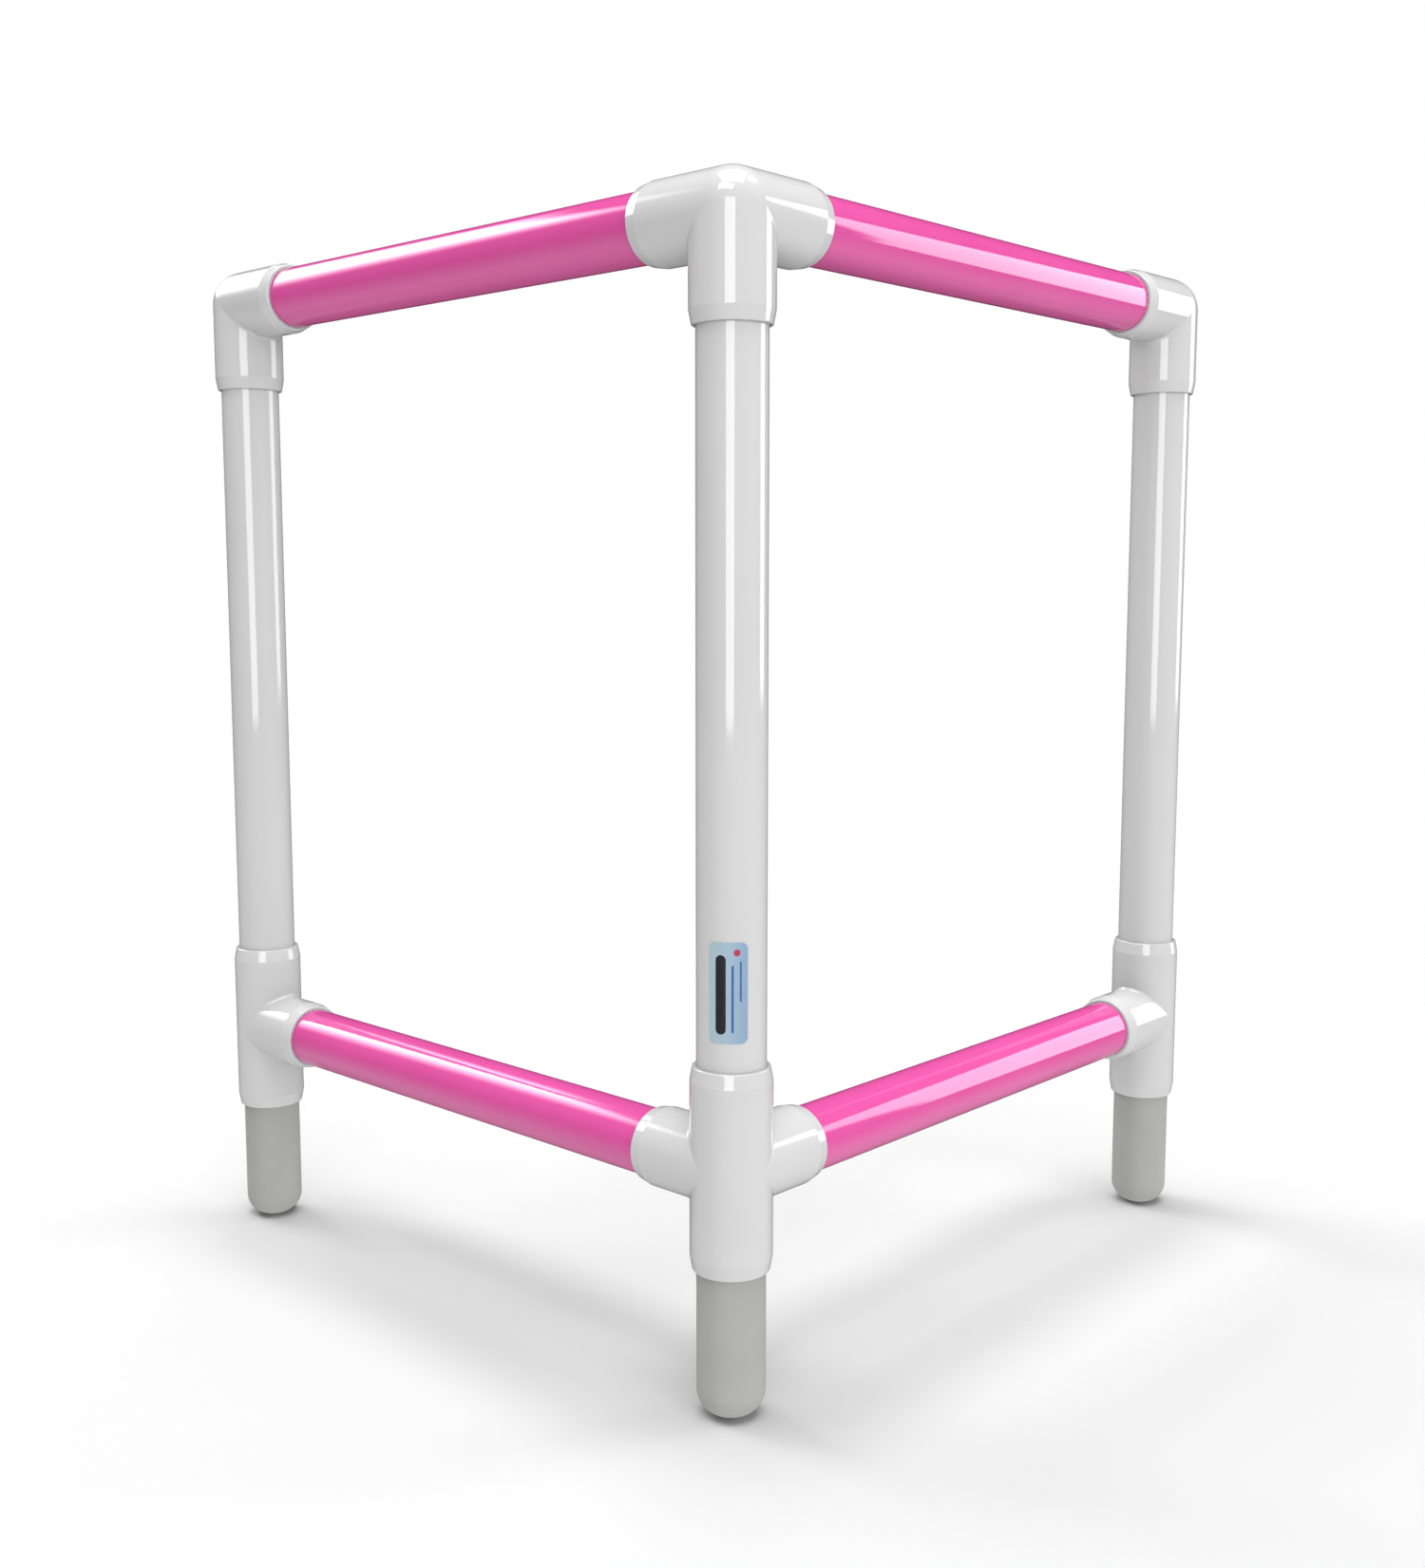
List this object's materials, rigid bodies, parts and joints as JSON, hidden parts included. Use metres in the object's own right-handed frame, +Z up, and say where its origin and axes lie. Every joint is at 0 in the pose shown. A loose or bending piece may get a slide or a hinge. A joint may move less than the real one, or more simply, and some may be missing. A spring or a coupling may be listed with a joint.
{
  "type": "kip bar",
  "caption": "Low free-standing corner frame of plastic pipe for gymnastics practice: pink grip bars and braces at a right angle, white legs and round-ended rubber feet.",
  "frame": {"origin": "on the floor, under the middle of the square that the three legs mark out", "axes": "+Z up; the front leg stands at (-X, -Y), the right side of the frame runs from it along +X and the left side along +Y"},
  "size_m": [0.5454, 0.5454, 0.7331],
  "materials": {
    "fitting": "moulded white PVC, glossy",
    "white_pipe": "extruded white PVC, glossy",
    "pink_pipe": "extruded pink PVC, glossy",
    "foot": "moulded grey rubber, matt",
    "label": "thin printed vinyl sticker, satin"
  },
  "bodies": {
    "root": {"corner_fitting": "fitting", "elbow_left": "fitting", "elbow_right": "fitting", "side_outlet_tee": "fitting", "tee_left": "fitting", "tee_right": "fitting", "upright_front": "white_pipe", "upright_left": "white_pipe", "upright_right": "white_pipe", "top_bar_left": "pink_pipe", "top_bar_right": "pink_pipe", "lower_bar_left": "pink_pipe", "lower_bar_right": "pink_pipe", "foot_front": "foot", "foot_left": "foot", "foot_right": "foot", "label": "label"}
  },
  "joints": []
}
